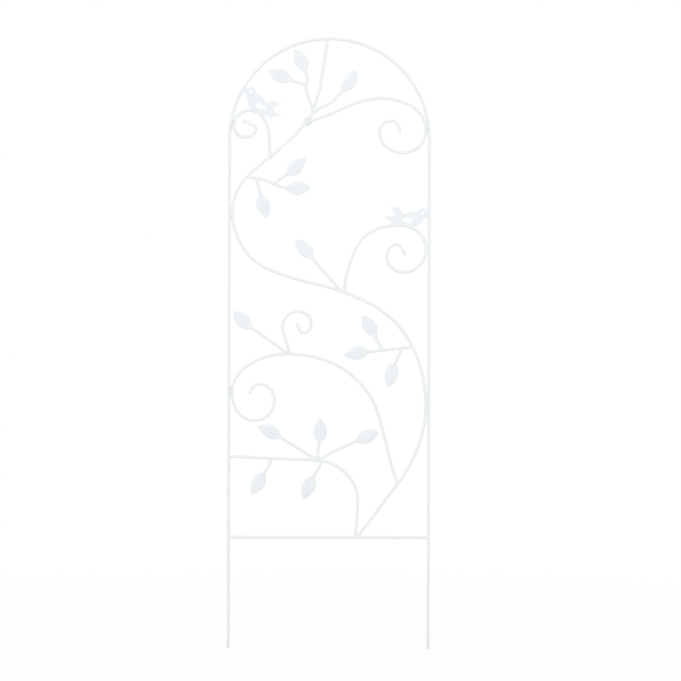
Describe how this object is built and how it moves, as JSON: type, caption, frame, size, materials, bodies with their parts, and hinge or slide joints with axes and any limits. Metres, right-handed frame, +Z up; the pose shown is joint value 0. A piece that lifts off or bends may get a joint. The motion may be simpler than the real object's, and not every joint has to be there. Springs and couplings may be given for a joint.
{
  "type": "garden trellis",
  "caption": "Flat arched garden trellis of welded steel rod, filled with a winding stem, scrolls, leafy twigs and little birds, for climbing plants.",
  "frame": {"origin": "midway between the two leg ends, at their lowest point, in the panel's middle plane", "axes": "+Z up along the legs, +X to the right seen from the front, the front faces -Y"},
  "size_m": [0.498, 0.0072, 1.5],
  "materials": {
    "hoop_paint": "white stoved paint on round steel rod, half gloss",
    "stem_paint": "white stoved paint on bent and welded steel rod, half gloss",
    "leaf_paint": "white stoved paint on stamped steel sheet, half gloss",
    "bird_paint": "white stoved paint on flat-cut steel sheet, half gloss"
  },
  "bodies": {
    "root": {"frame_hoop": "hoop_paint", "lower_crossbar": "hoop_paint", "main_stem": "stem_paint", "bottom_stem": "stem_paint", "upper_right_scroll": "stem_paint", "upper_left_scroll": "stem_paint", "mid_right_scroll": "stem_paint", "lower_arch_scroll": "stem_paint", "small_scroll": "stem_paint", "crown_left_twig": "stem_paint", "crown_side_twig": "stem_paint", "crown_right_twig": "stem_paint", "shoulder_middle_twig": "stem_paint", "shoulder_upper_twig": "stem_paint", "shoulder_lower_twig": "stem_paint", "waist_twig": "stem_paint", "arch_twig": "stem_paint", "hip_middle_twig": "stem_paint", "hip_upper_twig": "stem_paint", "hip_lower_twig": "stem_paint", "base_upper_twig": "stem_paint", "base_left_twig": "stem_paint", "base_right_twig": "stem_paint", "base_lower_twig": "stem_paint", "base_outer_twig": "stem_paint", "crown_left_leaf": "leaf_paint", "crown_side_leaf": "leaf_paint", "crown_right_leaf": "leaf_paint", "shoulder_middle_leaf": "leaf_paint", "shoulder_upper_leaf": "leaf_paint", "shoulder_lower_leaf": "leaf_paint", "waist_leaf": "leaf_paint", "arch_leaf": "leaf_paint", "hip_middle_leaf": "leaf_paint", "hip_upper_leaf": "leaf_paint", "hip_lower_leaf": "leaf_paint", "base_upper_leaf": "leaf_paint", "base_left_leaf": "leaf_paint", "base_right_leaf": "leaf_paint", "base_lower_leaf": "leaf_paint", "base_outer_leaf": "leaf_paint", "left_bird": "bird_paint", "right_bird": "bird_paint"}
  },
  "joints": []
}
